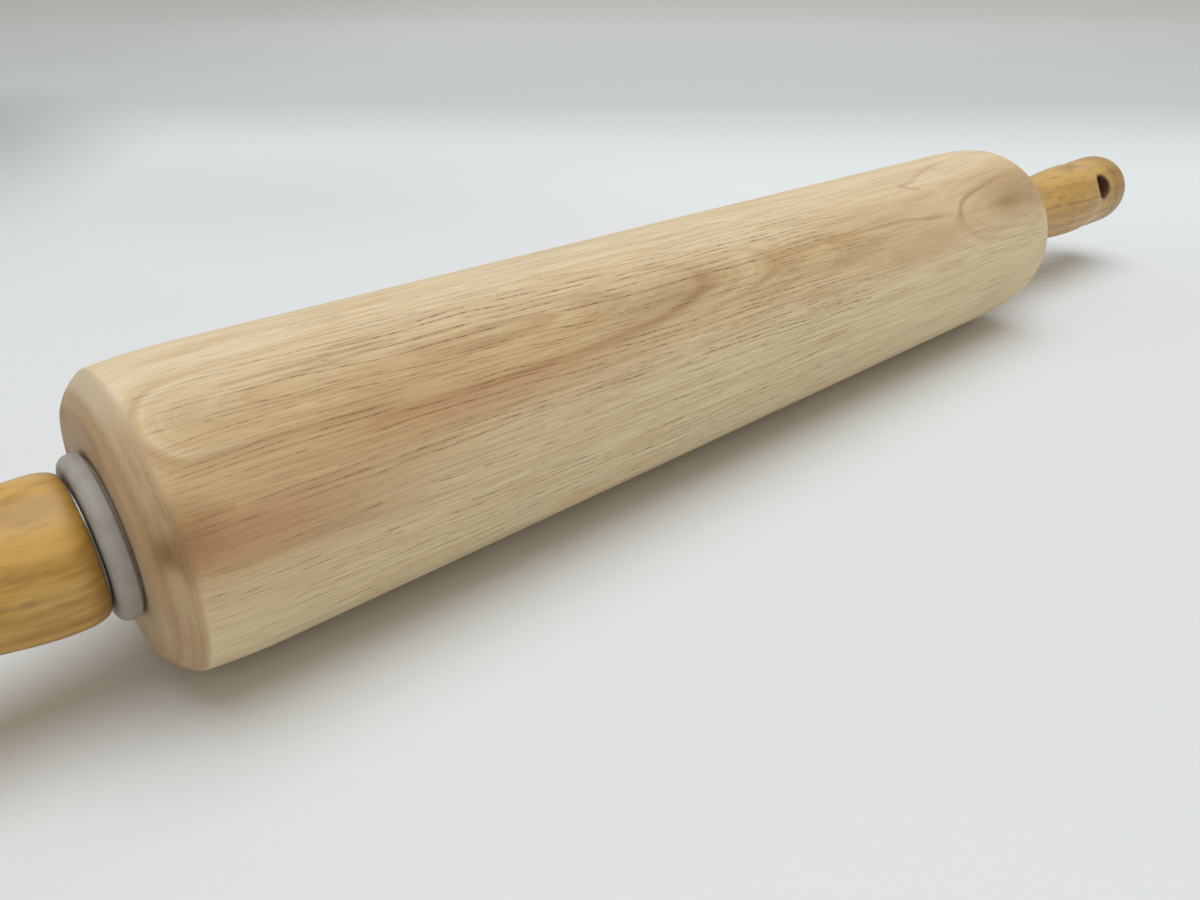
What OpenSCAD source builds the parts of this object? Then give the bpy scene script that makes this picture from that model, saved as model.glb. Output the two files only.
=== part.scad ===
// Barrel rolling pin, in millimetres. The roller turns on a steel rod that both handles are fixed to.
// The origin is the middle of the roller on its axis. X runs along the pin and Z is up.

/* [Roller] */
// Diameter of the roller
roller_d = 60; // [50:0.5:75]
// Length of the roller between its flat end faces
roller_l = 303; // [200:1:450]
// How far the edge of the flat end face lies below the full radius
face_drop = 6.3; // [4:0.1:9]
// How far the crease around each end lies in from the end face
crease_inset = 4.7; // [3:0.1:8]
// How far the crease lies below the full radius
crease_drop = 1; // [0.4:0.1:1.5]
// Radius of the arc between the end face and the crease
end_arc_r = 12; // [8:0.5:30]
// Radius of the long arc that eases the crease into the barrel
shoulder_arc_r = 120; // [60:5:200]

/* [Bushings] */
// Diameter of the flange that shows between roller and handle
flange_d = 31.2; // [28:0.2:36]
// Thickness of that flange
flange_t = 3.5; // [2.5:0.1:6]
// Radius of the flange's outer front edge
flange_front_round = 2; // [0.5:0.1:2.5]
// Radius of the flange's outer back edge
flange_back_round = 0.5; // [0.2:0.1:0.8]
// Height of the seat step that holds the flange off the end face
seat_h = 0.6; // [0.2:0.1:1]
// How far the seat step lies inside the flange's edge
seat_inset = 1.5; // [1:0.1:2.5]
// Diameter of the counterbore that the hub is pressed into
pocket_d = 20; // [17:0.5:22]
// Length of the hub inside the roller
hub_l = 22; // [12:0.5:30]
// Number of crush ribs along the hub
rib_count = 8; // [4:1:12]
// Height of each crush rib
rib_h = 0.4; // [0.2:0.1:0.8]
// Radius of each crush rib
rib_r = 0.9; // [0.6:0.1:1.2]

/* [Rod] */
// Diameter of the steel rod
rod_d = 8; // [6:0.5:10]
// Chamfer on the rod's ends
rod_chamfer = 0.8; // [0.3:0.1:1.5]
// Number of glue grooves on each end of the rod
groove_count = 5; // [2:1:6]
// Distance between the glue grooves
groove_pitch = 8; // [5:0.5:9]
// Width of a glue groove
groove_w = 1.6; // [0.8:0.1:2.5]
// Depth of a glue groove
groove_depth = 0.35; // [0.1:0.05:0.6]

/* [Thrust washers] */
// Outer diameter of a thrust washer
washer_d = 23; // [18:0.5:24]
// Thickness of a thrust washer
washer_t = 0.5; // [0.3:0.1:1.5]

/* [Handles] */
// Length of a handle
handle_l = 105; // [95:0.5:140]
// Diameter of the lip at the handle's inner end
lip_d = 28.4; // [26:0.1:32]
// Length of the round between the handle's inner face and the lip
lip_round = 4.6; // [1:0.1:5]
// How far the edge of the inner face lies inside the lip's radius
lip_drop = 1.8; // [1:0.1:4]
// Distance of the lip's crest from the inner end
lip_at = 5.5; // [5.2:0.1:8]
// Diameter of the waist, where the fingers close
waist_d = 23.8; // [20:0.1:26]
// Distance of the waist from the inner end
waist_at = 25.5; // [18:0.5:32]
// Diameter of the belly near the outer end
belly_d = 28; // [26.5:0.1:32]
// Distance of the cove's inner arris from the tip
cove_from_tip = 35.5; // [34.5:0.5:40]
// Distance of the arris between cove and ring groove from the tip
arris_from_tip = 21.5; // [20:0.5:22]
// Distance of the ring groove's outer edge from the tip
ring_from_tip = 16; // [13:0.5:17]
// Depth of the cove
cove_depth = 0.5; // [0.1:0.05:0.8]
// Depth of the ring groove
ring_depth = 0.35; // [0.1:0.05:0.6]
// Length of the domed end
dome_l = 10.5; // [8:0.5:12]

/* [Hang hole] */
// Diameter of the hang hole through the right handle
hole_d = 9; // [5:0.5:10]
// Distance of the hang hole from the tip
hole_from_tip = 28.5; // [27.5:0.5:30]
// Angle of the hole's axis above the horizontal
hole_tilt = 27; // [0:1:90]
// Depth of the eased edge around the hole
hole_edge = 0.6; // [0.3:0.1:1]
// Wood left between the rod's bore and the hang hole
hole_wall = 13; // [10:0.5:18]

/* [Clearances] */
// Running clearance around the rod in a bushing
run_gap = 0.08; // [0.03:0.01:0.1]
// Clearance around the crush ribs in the counterbore
press_gap = 0.02; // [0.01:0.01:0.05]
// Glue line around the rod in a handle
glue_gap = 0.05; // [0.02:0.01:0.1]
// Clearance around the rod in a thrust washer
washer_gap = 0.1; // [0.05:0.01:0.3]
// End play between a bushing and its thrust washer
end_play = 0.1; // [0.05:0.05:0.4]
// Room around the rod inside the roller
rod_room = 2; // [1:0.5:3]
// Room beyond the end of a hub or of the rod
end_room = 0.6; // [0.3:0.1:1.5]

/* [Hidden] */

$fn = 96;
// Steps along a rounded corner or a hollow, and along a long curve.
corner_steps = 8;
curve_steps = 16;
// How far a cutting shape runs past the face it cuts.
over = 1;
roller_r = roller_d / 2;
face_r = roller_r - face_drop;
crease_r = roller_r - crease_drop;
shoulder_l = sqrt(2 * shoulder_arc_r * crease_drop - crease_drop * crease_drop);
rod_r = rod_d / 2;
pocket_r = pocket_d / 2;
flange_r = flange_d / 2;
hub_r = pocket_r - press_gap - rib_h;
// Chamfers on the hub's inner end and at the mouth of its bore.
hub_lead = 1;
bush_bore_r = rod_r + run_gap;
bush_bore_lead = 0.5;
flange_top = seat_h + flange_t;
// The front round leaves a narrow land between itself and the back round.
flange_land = 0.2;
front_round = min(flange_front_round, flange_t - flange_back_round - flange_land);
// Distance of a handle's inner end from the middle of the roller.
handle_at = roller_l / 2 + flange_top + end_play + washer_t;
lip_r = lip_d / 2;
waist_r = waist_d / 2;
belly_r = belly_d / 2;
hole_r = hole_d / 2;
hole_at = handle_l - hole_from_tip;
// Slope of the drill point at the bottom of a handle's bore, and the bore's depth to that point.
drill_tip = 31;
drill_l = hole_at - hole_r - hole_wall;
// Length of rod inside a handle.
grip_l = drill_l - (rod_r + glue_gap) * tan(drill_tip) - end_room;

// The arc of radius r from p to q that bulges to the left of the way from p to q.
function arc(p, q, r) =
    let (
        n = corner_steps,
        way = q - p,
        span = norm(way),
        left = [-way[1], way[0]] / span,
        centre = (p + q) / 2 - left * sqrt(r * r - span * span / 4),
        from = atan2(p[1] - centre[1], p[0] - centre[0]),
        to = atan2(q[1] - centre[1], q[0] - centre[0])
    )
    [for (i = [0 : n]) centre + r * [cos(from + (to - from) * i / n), sin(from + (to - from) * i / n)]];

// A quarter of an ellipse from p, where it runs across the axis, to q, where it is level.
function round_over(p, q) =
    [for (i = [0 : corner_steps]) let (a = 90 * i / corner_steps)
        [q[0] - (q[0] - p[0]) * cos(a), p[1] + (q[1] - p[1]) * sin(a)]];

// An S curve from p to q that starts and ends level.
function ease(p, q) =
    [for (i = [0 : curve_steps]) let (t = i / curve_steps)
        [p[0] + (q[0] - p[0]) * t, p[1] + (q[1] - p[1]) * (1 - cos(180 * t)) / 2]];

// A hollow of the given depth between two arrises at radius r.
function hollow(from, to, r, depth) =
    [for (i = [0 : corner_steps]) let (t = 2 * i / corner_steps - 1)
        [(from + to) / 2 + t * (to - from) / 2, r - depth * (1 - t * t)]];

// Half an ellipse's outline, from the side of the handle to its tip.
function dome(from, len, r) =
    [for (i = [0 : curve_steps]) let (a = 90 * i / curve_steps)
        [from + len * sin(a), i == curve_steps ? 0 : r * cos(a)]];

// One end of the roller, as [distance from the end face, radius] from the face to the barrel.
roller_end = concat(
    arc([0, face_r], [crease_inset, crease_r], end_arc_r),
    arc([crease_inset, crease_r], [crease_inset + shoulder_l, roller_r], shoulder_arc_r)
);

// A handle, as [distance from its inner end, radius] from the inner face to the tip.
handle_line = concat(
    round_over([0, lip_r - lip_drop], [lip_round, lip_r]),
    ease([lip_at, lip_r], [waist_at, waist_r]),
    ease([waist_at, waist_r], [handle_l - cove_from_tip, belly_r]),
    hollow(handle_l - cove_from_tip, handle_l - arris_from_tip, belly_r, cove_depth),
    hollow(handle_l - arris_from_tip, handle_l - ring_from_tip, belly_r, ring_depth),
    dome(handle_l - dome_l, dome_l, belly_r)
);

// Turns an outline given as [distance along the axis, radius], closed along the axis, around Z.
module turned(line) {
    last = line[len(line) - 1];
    rotate_extrude()
        polygon(concat(
            [[0, line[0][0]]],
            [for (p = line) [p[1], p[0]]],
            last[1] > 0 ? [[0, last[0]]] : []
        ));
}

// Stands its children's Z axis along X, pointing out of the roller's end on the given side.
module outward(side, at) {
    translate([side * at, 0, 0])
        rotate([0, side * 90, 0])
            children();
}

// The barrel, turned around Z from the edge that ends up along the roller's top.
module barrel() {
    half = roller_l / 2;
    turned(concat(
        [for (p = roller_end) [p[0] - half, p[1]]],
        [for (i = [len(roller_end) - 1 : -1 : 0]) [half - roller_end[i][0], roller_end[i][1]]]
    ));
}

module roller() {
    color([0.78, 0.67, 0.50])
        difference() {
            rotate([0, -90, 0])
                barrel();
            rotate([0, 90, 0])
                cylinder(r = rod_r + rod_room, h = roller_l + 2 * over, center = true);
            for (side = [-1, 1])
                outward(side, roller_l / 2 - hub_l - end_room)
                    cylinder(r = pocket_r, h = hub_l + end_room + over);
        }
}

// A flanged bush, drawn with its flange up and the roller's end face at Z = 0.
module bushing() {
    front = arc([flange_top - front_round, flange_r], [flange_top, flange_r - front_round], front_round);
    back = arc([seat_h, flange_r - flange_back_round], [seat_h + flange_back_round, flange_r],
        flange_back_round);
    color([0.60, 0.59, 0.56])
        difference() {
            union() {
                turned(concat(
                    [[-hub_l, hub_r - hub_lead], [hub_lead - hub_l, hub_r], [0, hub_r]],
                    [[0, flange_r - seat_inset], [seat_h, flange_r - seat_inset]],
                    back,
                    front
                ));
                for (i = [0 : rib_count - 1])
                    rotate([0, 0, i * 360 / rib_count])
                        translate([hub_r + rib_h - rib_r, 0, 2 * hub_lead - hub_l])
                            cylinder(r = rib_r, h = hub_l - 2 * hub_lead + seat_h / 2, $fn = 24);
            }
            translate([0, 0, -hub_l - over])
                cylinder(r = bush_bore_r, h = hub_l + flange_top + 2 * over);
            translate([0, 0, flange_top - bush_bore_lead])
                cylinder(r1 = bush_bore_r, r2 = bush_bore_r + 2 * bush_bore_lead, h = 2 * bush_bore_lead);
        }
}

module left_bushing() {
    outward(-1, roller_l / 2)
        bushing();
}

module right_bushing() {
    outward(1, roller_l / 2)
        bushing();
}

module axle_rod() {
    end = handle_at + grip_l;
    color([0.72, 0.72, 0.70])
        difference() {
            rotate([0, 90, 0])
                turned([
                    [-end, rod_r - rod_chamfer], [rod_chamfer - end, rod_r],
                    [end - rod_chamfer, rod_r], [end, rod_r - rod_chamfer]
                ]);
            for (side = [-1, 1], i = [1 : groove_count])
                outward(side, end - i * min(groove_pitch, grip_l / (groove_count + 1)))
                    difference() {
                        cylinder(r = rod_r + over, h = groove_w, center = true);
                        cylinder(r = rod_r - groove_depth, h = groove_w + over, center = true);
                    }
        }
}

// A plain washer that lies against the handle's inner face.
module thrust_washer(side) {
    color([0.75, 0.74, 0.72])
        outward(side, handle_at - washer_t)
            difference() {
                cylinder(r = washer_d / 2, h = washer_t);
                translate([0, 0, -over])
                    cylinder(r = rod_r + washer_gap, h = washer_t + 2 * over);
            }
}

module left_thrust_washer() {
    thrust_washer(-1);
}

module right_thrust_washer() {
    thrust_washer(1);
}

// A turned handle with the drilled bore that the rod is glued into.
module grip() {
    bore_r = rod_r + glue_gap;
    straight_l = drill_l - bore_r * tan(drill_tip);
    difference() {
        turned(handle_line);
        translate([0, 0, -over])
            cylinder(r = bore_r, h = straight_l + over);
        translate([0, 0, straight_l])
            cylinder(r1 = bore_r, r2 = 0, h = bore_r * tan(drill_tip));
    }
}

// The hang hole, with an eased edge that follows the round of the handle on both sides.
module hang_hole() {
    edge_at = sqrt(belly_r * belly_r - hole_r * hole_r) - hole_edge;
    cylinder(r = hole_r, h = 2 * belly_r + 2 * over, center = true);
    for (side = [0, 180])
        rotate([side, 0, 0])
            translate([0, 0, edge_at])
                cylinder(r1 = hole_r, r2 = hole_r + belly_r - edge_at + over, h = belly_r - edge_at + over);
}

module left_handle() {
    color([0.68, 0.50, 0.26])
        outward(-1, handle_at)
            grip();
}

module right_handle() {
    color([0.68, 0.50, 0.26])
        difference() {
            outward(1, handle_at)
                grip();
            translate([handle_at + hole_at, 0, 0])
                rotate([90 - hole_tilt, 0, 0])
                    hang_hole();
        }
}

roller();
left_bushing();
right_bushing();
axle_rod();
left_thrust_washer();
right_thrust_washer();
left_handle();
right_handle();
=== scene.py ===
# %% [markdown]
# # A barrel rolling pin, piece by piece
#
# This pin is a bare hardwood barrel that turns on a steel rod. Two lacquered handles are glued on
# the rod's ends, and a grey nylon bush with a flange keeps each handle off the barrel. Almost every
# piece came off a lathe, so the lesson builds one lathe out of Geometry Nodes, turns every outline
# on it, and then spends its time on the wood.

import math

import bmesh
import bpy
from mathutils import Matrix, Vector


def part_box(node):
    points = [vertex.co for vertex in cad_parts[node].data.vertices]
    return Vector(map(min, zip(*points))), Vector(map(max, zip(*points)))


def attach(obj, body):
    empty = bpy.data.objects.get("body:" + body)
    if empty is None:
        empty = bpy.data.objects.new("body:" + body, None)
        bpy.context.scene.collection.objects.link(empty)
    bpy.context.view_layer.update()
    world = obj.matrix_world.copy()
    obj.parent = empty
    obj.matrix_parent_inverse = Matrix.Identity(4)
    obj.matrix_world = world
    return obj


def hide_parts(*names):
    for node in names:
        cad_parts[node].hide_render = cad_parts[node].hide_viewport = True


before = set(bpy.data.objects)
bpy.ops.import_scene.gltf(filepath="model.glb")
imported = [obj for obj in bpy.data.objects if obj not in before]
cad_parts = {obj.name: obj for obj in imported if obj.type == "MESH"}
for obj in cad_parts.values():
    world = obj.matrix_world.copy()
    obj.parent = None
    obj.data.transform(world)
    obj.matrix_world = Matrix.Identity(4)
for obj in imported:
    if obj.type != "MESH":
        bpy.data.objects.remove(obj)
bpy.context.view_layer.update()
scene = bpy.context.scene
scene.view_settings.view_transform = "Standard"
print("frame nodes:", sorted(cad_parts))

# %% [markdown]
# ## The camera
#
# The picture was taken from close by, low over the near handle, with a wide lens, which is why the
# barrel runs away so strongly to the right. A camera that only looks about right gives an object
# that only looks about right, so it comes first. Its place and turn were solved from the barrel's
# two straight outlines and its end circles.

# %% Camera
CAMERA_PLACE = (-0.17474, -0.15660, 0.08990)
CAMERA_DOWN = math.radians(28.84)
CAMERA_HEADING = math.radians(41.604)
SENSOR_WIDTH = 36.0
LENS = 26.95

camera = bpy.data.objects.new("camera", bpy.data.cameras.new("camera"))
scene.collection.objects.link(camera)
camera.location = CAMERA_PLACE
camera.rotation_euler = (math.radians(90) - CAMERA_DOWN, 0, -CAMERA_HEADING)
camera.data.sensor_width = SENSOR_WIDTH
camera.data.lens = LENS
camera.data.clip_start = 0.01
scene.camera = camera
print("camera at", CAMERA_PLACE)

# %% [markdown]
# ## A short way to write node trees
#
# Materials and Geometry Nodes are both trees of nodes. Placing each node by hand takes three or
# four lines, which hides the idea. The small class below adds a node in one call: a value that is
# a socket is linked, and anything else is set on the input itself.


# %% Helpers for node trees
class Bench:
    """Adds nodes to one tree."""

    def __init__(self, tree):
        self.tree = tree

    def feed(self, socket, value):
        if isinstance(value, bpy.types.NodeSocket):
            self.tree.links.new(value, socket)
        else:
            socket.default_value = value

    def add(self, kind, feeds=None, **settings):
        node = self.tree.nodes.new(kind)
        for name, value in settings.items():
            setattr(node, name, value)
        for name, value in (feeds or {}).items():
            self.feed(node.inputs[name], value)
        return node

    def calc(self, operation, *values):
        """One Math node."""
        return self.add("ShaderNodeMath", dict(enumerate(values)), operation=operation).outputs[0]

    def vector(self, operation, *values):
        """One Vector Math node, and its number where the operation gives one."""
        node = self.add("ShaderNodeVectorMath", dict(enumerate(values)), operation=operation)
        return node.outputs["Value" if operation in ("DOT_PRODUCT", "LENGTH") else "Vector"]

    def point(self, **parts):
        """A vector made of its X, Y and Z."""
        return self.add("ShaderNodeCombineXYZ", parts).outputs[0]

    def times(self, first, *others):
        for other in others:
            first = self.calc("MULTIPLY", first, other)
        return first

    def most(self, first, *others):
        for other in others:
            first = self.calc("MAXIMUM", first, other)
        return first

    def scaled(self, value, factor, base):
        """The value times a factor, plus a base."""
        return self.calc("MULTIPLY_ADD", value, factor, base)

    def fade(self, value, low, high, smooth=True):
        """0 at low, 1 at high, eased between, whichever of the two is larger."""
        kind = "SMOOTHSTEP" if smooth else "LINEAR"
        feeds = {"Value": value, "From Min": low, "From Max": high}
        return self.add("ShaderNodeMapRange", feeds, interpolation_type=kind).outputs["Result"]

    def hill(self, value, middle, width):
        """1 at middle, falling smoothly to 0 at width on either side."""
        away = self.calc("ABSOLUTE", self.calc("SUBTRACT", value, middle))
        return self.fade(away, width, 0.0)

    def noise(self, place, scale=1.0, detail=2.0, roughness=0.5):
        """Noise around 0.5, in space."""
        feeds = {"Vector": place, "Scale": scale, "Detail": detail, "Roughness": roughness}
        return self.add("ShaderNodeTexNoise", feeds).outputs["Fac"]

    def noise_along(self, number, scale, detail, roughness=0.5):
        """Noise around 0.5, along one number."""
        feeds = {"W": number, "Scale": scale, "Detail": detail, "Roughness": roughness}
        return self.add("ShaderNodeTexNoise", feeds, noise_dimensions="1D").outputs["Fac"]

    def stretched(self, place, stretch, detail=2.0, roughness=0.5):
        """Noise in space with its own scale along each axis."""
        return self.noise(self.vector("MULTIPLY", place, stretch), 1.0, detail, roughness)

    def mix(self, amount, first, second):
        """Mixes two colours, each an RGB triple or a socket."""
        node = self.add("ShaderNodeMix", data_type="RGBA")
        self.feed(node.inputs[0], amount)
        for socket, value in zip(node.inputs[6:8], (first, second)):
            self.feed(socket, value if isinstance(value, bpy.types.NodeSocket) else (*value, 1))
        return node.outputs[2]

    def tint(self, colour, tone, amount, share=1.0):
        """The colour, moved towards a tone by an amount times a share."""
        return self.mix(self.times(amount, share), colour, tone)

    def curve(self, value, points):
        """A smooth curve through the points, in their own units."""
        xs, ys = zip(*points)
        wide, tall = max(xs) - min(xs), max(ys) - min(ys)
        spots = [((x - min(xs)) / wide, (y - min(ys)) / tall) for x, y in points]
        node = self.add("ShaderNodeFloatCurve")
        self.feed(node.inputs["Value"], self.fade(value, min(xs), max(xs), smooth=False))
        line = node.mapping.curves[0]
        line.points[0].location = spots[0]
        for spot in spots[1:-1]:
            line.points.new(*spot)
        line.points[len(line.points) - 1].location = spots[-1]
        node.mapping.update()
        return self.scaled(node.outputs["Value"], tall, min(ys))


def linear(red, green, blue):
    """An 8-bit display colour as the linear colour that Blender's sockets hold."""
    return tuple(
        v / 12.92 if v <= 0.04045 else ((v + 0.055) / 1.055) ** 2.4
        for v in (red / 255, green / 255, blue / 255)
    )


def new_material(name):
    """An empty Principled material: the material, its bench and its shader."""
    material = bpy.data.materials.new(name)
    material.use_nodes = True
    material.node_tree.nodes.clear()
    bench = Bench(material.node_tree)
    shader = bench.add("ShaderNodeBsdfPrincipled")
    bench.add("ShaderNodeOutputMaterial", {"Surface": shader.outputs["BSDF"]})
    return material, bench, shader


def dress(bench, shader, colour, roughness, relief, strength, depth, levels):
    """Feeds a shader its colour, its roughness and a bump, and sets its other levels."""
    bench.feed(shader.inputs["Base Color"], colour)
    bench.feed(shader.inputs["Roughness"], roughness)
    bump = {"Height": relief, "Strength": strength, "Distance": depth}
    bench.feed(shader.inputs["Normal"], bench.add("ShaderNodeBump", bump).outputs["Normal"])
    for name, level in levels.items():
        shader.inputs[name].default_value = level


print("helpers ready")

# %% [markdown]
# ## The table
#
# The pin lies on a smooth pale sheet that rises behind it into a greyer backdrop. A bent sheet
# would stand in the way when the pin is looked at from behind, so a flat plane carries the same
# picture as painted light and shade: its colour runs along the camera's heading from bright,
# through a painted bright band where the bend would catch the light, to the painted grey of a
# backdrop in shade. Soft painted shadows darken the left of the table.

# %% Floor
FLOOR_HEIGHT = -0.030
FLOOR_HALF = 12.0

floor_mesh = bpy.data.meshes.new("table")
corners = [(-1, -1), (1, -1), (1, 1), (-1, 1)]
floor_mesh.from_pydata(
    [(x * FLOOR_HALF, y * FLOOR_HALF, FLOOR_HEIGHT) for x, y in corners], [], [(0, 1, 2, 3)]
)
floor = bpy.data.objects.new("table", floor_mesh)
scene.collection.objects.link(floor)

LOOKING_ALONG = (math.sin(CAMERA_HEADING), math.cos(CAMERA_HEADING), 0)
LOOKING_ACROSS = (math.cos(CAMERA_HEADING), -math.sin(CAMERA_HEADING), 0)
NEAREST = -2.0
FARTHEST = 3.0
# The bands are painted light and shade: a bright band where a bend would catch the light, then the
# grey of a backdrop in shade.
TABLE_BANDS = (
    (NEAREST, (226, 227, 226)),
    (0.10, (225, 227, 226)),
    (0.31, (233, 237, 236)),
    (0.42, (229, 233, 232)),
    (0.53, (217, 221, 220)),
    (0.66, (205, 209, 208)),
    (1.05, (212, 216, 215)),
    (1.60, (231, 234, 233)),
    (FARTHEST, (250, 251, 250)),
)
SHADE_COLOUR = linear(90, 92, 92)
CORNER_SLANT = 0.55
CORNER_SHADE = 0.45
LEFT_SHADE = 0.13

table_top, bench, shader = new_material("pale_table")
place = bench.add("ShaderNodeTexCoord").outputs["Object"]
ahead = bench.vector("DOT_PRODUCT", place, LOOKING_ALONG)
across = bench.vector("DOT_PRODUCT", place, LOOKING_ACROSS)
sheet = bench.add("ShaderNodeValToRGB")
bench.feed(sheet.inputs["Fac"], bench.fade(ahead, NEAREST, FARTHEST, smooth=False))
stops = sheet.color_ramp.elements
for i, (at, colour) in enumerate(TABLE_BANDS):
    position = (at - NEAREST) / (FARTHEST - NEAREST)
    stop = stops[i] if i < 2 else stops.new(position)
    stop.position = position
    stop.color = (*linear(*colour), 1)
# Painted shadows: a soft painted shadow near the far left corner and two painted darkenings towards
# the left.
corner = bench.hill(bench.scaled(ahead, CORNER_SLANT, across), -0.26, 0.19)
corner = bench.times(corner, bench.hill(ahead, 0.44, 0.38), CORNER_SHADE)
painted_far_left_shade = bench.times(bench.fade(across, -0.2, -1.0), bench.fade(ahead, 0.3, 0.7), LEFT_SHADE)
painted_left_shade = bench.times(bench.fade(across, 0.08, -0.22), bench.hill(ahead, 0.29, 0.19), LEFT_SHADE)
shade = bench.most(bench.calc("ADD", corner, painted_far_left_shade), painted_left_shade)
shade = bench.mix(shade, sheet.outputs["Color"], SHADE_COLOUR)
bench.feed(shader.inputs["Base Color"], shade)
shader.inputs["Roughness"].default_value = 0.55
shader.inputs["Specular IOR Level"].default_value = 0.2
floor_mesh.materials.append(table_top)
print("table top at", FLOOR_HEIGHT, "m")

# %% [markdown]
# ## The light
#
# A bright room lights from everywhere, and most from above: the barrel is brightest along its top,
# and the shadow on the table is dark only where the pin touches it. A wide lamp overhead gives the
# top and the width of the shadow's soft edge, a weak one in front lifts the side that the camera
# sees, and an even, slightly warm world fills the rest.

# %% Lights
WORLD_LEVEL = 0.46
WORLD_COLOUR = (0.97, 0.92, 0.83)
BACKDROP_COLOUR = linear(190, 194, 193)
LAMPS = (
    ("overhead", (0.1, 0.0, 2.0), 2.05, 29.3, (0.94, 1.0, 1.09)),
    ("front", (-0.9, -1.9, 0.7), 1.2, 1.6, (1.0, 0.98, 0.94)),
)

for name, spot, size, watts, colour in LAMPS:
    lamp_data = bpy.data.lights.new(name, "AREA")
    lamp_data.shape = "DISK"
    lamp_data.size = size
    lamp_data.energy = watts
    lamp_data.color = colour
    lamp = bpy.data.objects.new(name, lamp_data)
    lamp.location = spot
    aim = Vector((0, 0, 0)) - lamp.location
    lamp.rotation_euler = aim.to_track_quat("-Z", "Y").to_euler()
    scene.collection.objects.link(lamp)

world = bpy.data.worlds.new("room")
scene.world = world
world.use_nodes = True
world.node_tree.nodes.clear()
bench = Bench(world.node_tree)
room = {"Color": (*WORLD_COLOUR, 1), "Strength": WORLD_LEVEL}
room = bench.add("ShaderNodeBackground", room).outputs[0]
backdrop = {"Color": (*BACKDROP_COLOUR, 1), "Strength": 1.0}
backdrop = bench.add("ShaderNodeBackground", backdrop).outputs[0]
ray = bench.add("ShaderNodeLightPath").outputs
seen = bench.most(ray["Is Camera Ray"], ray["Is Glossy Ray"], ray["Is Transmission Ray"])
chosen = bench.add("ShaderNodeMixShader", {0: seen, 1: room, 2: backdrop}).outputs[0]
bench.add("ShaderNodeOutputWorld", {"Surface": chosen})
print(len(LAMPS), "lamps")

# %% [markdown]
# ## A lathe made of Geometry Nodes
#
# A turner holds a profile against the spinning wood. The tree below does the same: it takes an
# outline, drawn as a chain of points with the distance along the axis in X and the radius in Z,
# and lays a grid of faces over it. Row by row a grid point reads its place from the outline
# (Sample Index), column by column it goes further round.

# %% The lathe tree
SEAM_GAP = 0.000001


def new_tree(name, inputs, output):
    """A Geometry Nodes tree with (name, kind) inputs and one geometry output."""
    tree = bpy.data.node_groups.new(name, "GeometryNodeTree")
    for label, kind in inputs:
        tree.interface.new_socket(label, in_out="INPUT", socket_type="NodeSocket" + kind)
    tree.interface.new_socket(output, in_out="OUTPUT", socket_type="NodeSocketGeometry")
    bench = Bench(tree)
    return tree, bench, bench.add("NodeGroupInput").outputs


LATHE, bench, given = new_tree(
    "lathe", (("Outline", "Geometry"), ("Steps around", "Int"), ("Start angle", "Float")), "Turned"
)
rows = bench.add("GeometryNodeAttributeDomainSize", {0: given["Outline"]}).outputs["Point Count"]
columns = bench.calc("ADD", given["Steps around"], 1)
grid = bench.add("GeometryNodeMeshGrid", {"Vertices X": columns, "Vertices Y": rows})
index = bench.add("GeometryNodeInputIndex").outputs[0]
row = bench.calc("FLOORED_MODULO", index, rows)
column = bench.calc("FLOOR", bench.calc("DIVIDE", bench.calc("ADD", index, 0.5), rows))
position = bench.add("GeometryNodeInputPosition").outputs[0]
sample = {"Geometry": given["Outline"], "Index": row, "Value": position}
sample = bench.add("GeometryNodeSampleIndex", sample, data_type="FLOAT_VECTOR")
spot = bench.add("ShaderNodeSeparateXYZ", {0: sample.outputs["Value"]}).outputs
angle = bench.times(bench.calc("DIVIDE", column, given["Steps around"]), math.tau)
angle = bench.calc("ADD", angle, given["Start angle"])
side = bench.times(spot["Z"], bench.calc("SINE", angle))
up = bench.times(spot["Z"], bench.calc("COSINE", angle))
place = bench.point(X=spot["X"], Y=side, Z=up)
moved = bench.add("GeometryNodeSetPosition", {"Geometry": grid.outputs[0], "Position": place})
shut = {"Geometry": moved.outputs[0], "Distance": SEAM_GAP}
shut = bench.add("GeometryNodeMergeByDistance", shut)
smooth = bench.add("GeometryNodeSetShadeSmooth", {0: shut.outputs[0]})
bench.add("NodeGroupOutput", {"Turned": smooth.outputs[0]})
print("lathe tree with", len(LATHE.nodes), "nodes")

# %% [markdown]
# A modifier stores its inputs under each socket's identifier, so `run_tree` looks them up by the
# names that a person reads. It then turns the result into an ordinary mesh with its faces pointing
# outwards, because the finished piece must not depend on live modifiers.

# %% Helpers that run a tree
MM = 0.001


def run_tree(obj, tree, inputs, material):
    """Runs a tree on an object and keeps the result as a plain mesh of one material."""
    modifier = obj.modifiers.new(tree.name, "NODES")
    modifier.node_group = tree
    for item in tree.interface.items_tree:
        if item.name in inputs:
            modifier[item.identifier] = inputs[item.name]
    depsgraph = bpy.context.evaluated_depsgraph_get()
    mesh = bpy.data.meshes.new_from_object(obj.evaluated_get(depsgraph), depsgraph=depsgraph)
    obj.modifiers.clear()
    obj.data = mesh
    mesh.materials.clear()
    mesh.materials.append(material)
    work = bmesh.new()
    work.from_mesh(mesh)
    bmesh.ops.recalc_face_normals(work, faces=work.faces)
    work.to_mesh(mesh)
    work.free()
    mesh.name = obj.name
    print(obj.name, "has", len(mesh.polygons), "faces")
    return obj


def turn(name, outline, material, steps, start=0.0):
    """Turns an outline of (distance along X, radius) pairs, in millimetres."""
    chain = bpy.data.meshes.new(name + "_outline")
    points = [(x * MM, 0, r * MM) for x, r in outline]
    chain.from_pydata(points, [(i, i + 1) for i in range(len(points) - 1)], [])
    obj = bpy.data.objects.new(name, chain)
    scene.collection.objects.link(obj)
    return run_tree(obj, LATHE, {"Steps around": steps, "Start angle": start}, material)


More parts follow.
